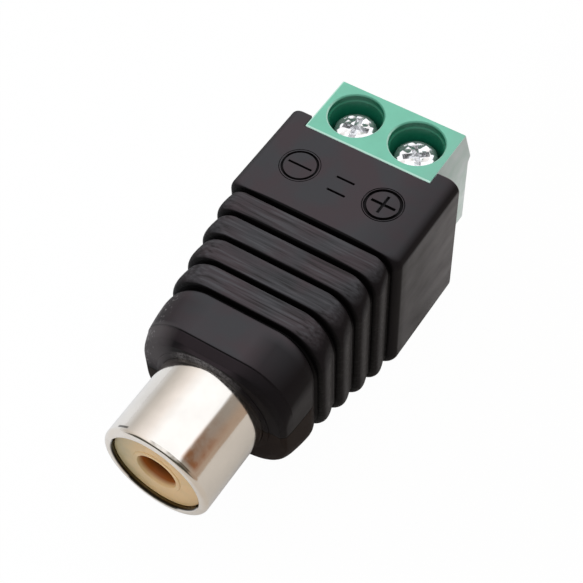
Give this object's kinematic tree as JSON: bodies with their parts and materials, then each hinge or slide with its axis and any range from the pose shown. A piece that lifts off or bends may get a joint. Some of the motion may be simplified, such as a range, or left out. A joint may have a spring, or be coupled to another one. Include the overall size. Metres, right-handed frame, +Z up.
{
  "type": "phono to screw terminal adapter",
  "caption": "Inline adapter: a phono socket in a ribbed black moulding, wired inside to a green screw terminal block with a minus and a plus pole.",
  "frame": {"origin": "middle of the adapter's length and width, on the surface that the flat underside of the housing lies on", "axes": "+X from the minus pole to the plus pole, +Y from the phono socket to the wire entries, +Z up, out of the screws' wells"},
  "size_m": [0.014, 0.033, 0.0129],
  "materials": {
    "housing_plastic": "satin black moulding",
    "terminal_plastic": "green moulding",
    "nickel_plate": "bright nickel plate",
    "cream_plastic": "cream moulding",
    "contact_brass": "turned brass",
    "tinned_strip": "tinned strip",
    "zinc_plate": "zinc plate",
    "clamp_steel": "plated steel",
    "copper": "bare copper",
    "solder": "solder",
    "black_jacket": "soft plastic",
    "red_jacket": "soft plastic"
  },
  "bodies": {
    "adapter": {"housing": "housing_plastic", "jack_shell": "nickel_plate", "jack_insulator": "cream_plastic", "rear_insulator": "cream_plastic", "centre_contact": "contact_brass", "ground_tag": "tinned_strip", "terminal_body": "terminal_plastic", "contact_bar_minus": "tinned_strip", "contact_bar_plus": "tinned_strip", "lead_minus_core": "copper", "lead_minus_jacket": "black_jacket", "lead_plus_core": "copper", "lead_plus_jacket": "red_jacket", "solder_pin_minus": "solder", "solder_pin_plus": "solder", "solder_ground": "solder", "solder_centre": "solder"},
    "screw_minus": {"clamp_screw_minus": "zinc_plate"},
    "screw_plus": {"clamp_screw_plus": "zinc_plate"},
    "lift_minus": {"clamp_minus": "clamp_steel"},
    "lift_plus": {"clamp_plus": "clamp_steel"}
  },
  "joints": [
    {"name": "screw_minus_turn", "type": "hinge", "parent": "adapter", "child": "screw_minus", "pos_m": [-0.00254, 0.01281, 0.009], "axis": [0, 0, -1], "range_deg": [0, 1261]},
    {"name": "screw_plus_turn", "type": "hinge", "parent": "adapter", "child": "screw_plus", "pos_m": [0.00254, 0.01281, 0.009], "axis": [0, 0, -1], "range_deg": [0, 1261]},
    {"name": "clamp_minus_lift", "type": "slide", "parent": "adapter", "child": "lift_minus", "axis": [0, 0, 1], "range_m": [0, 0.00158]},
    {"name": "clamp_plus_lift", "type": "slide", "parent": "adapter", "child": "lift_plus", "axis": [0, 0, 1], "range_m": [0, 0.00158]}
  ],
  "couplings": [
    {"joint": "screw_minus_turn", "follows": "clamp_minus_lift", "rad_per_m": 13963},
    {"joint": "screw_plus_turn", "follows": "clamp_plus_lift", "rad_per_m": 13963}
  ]
}
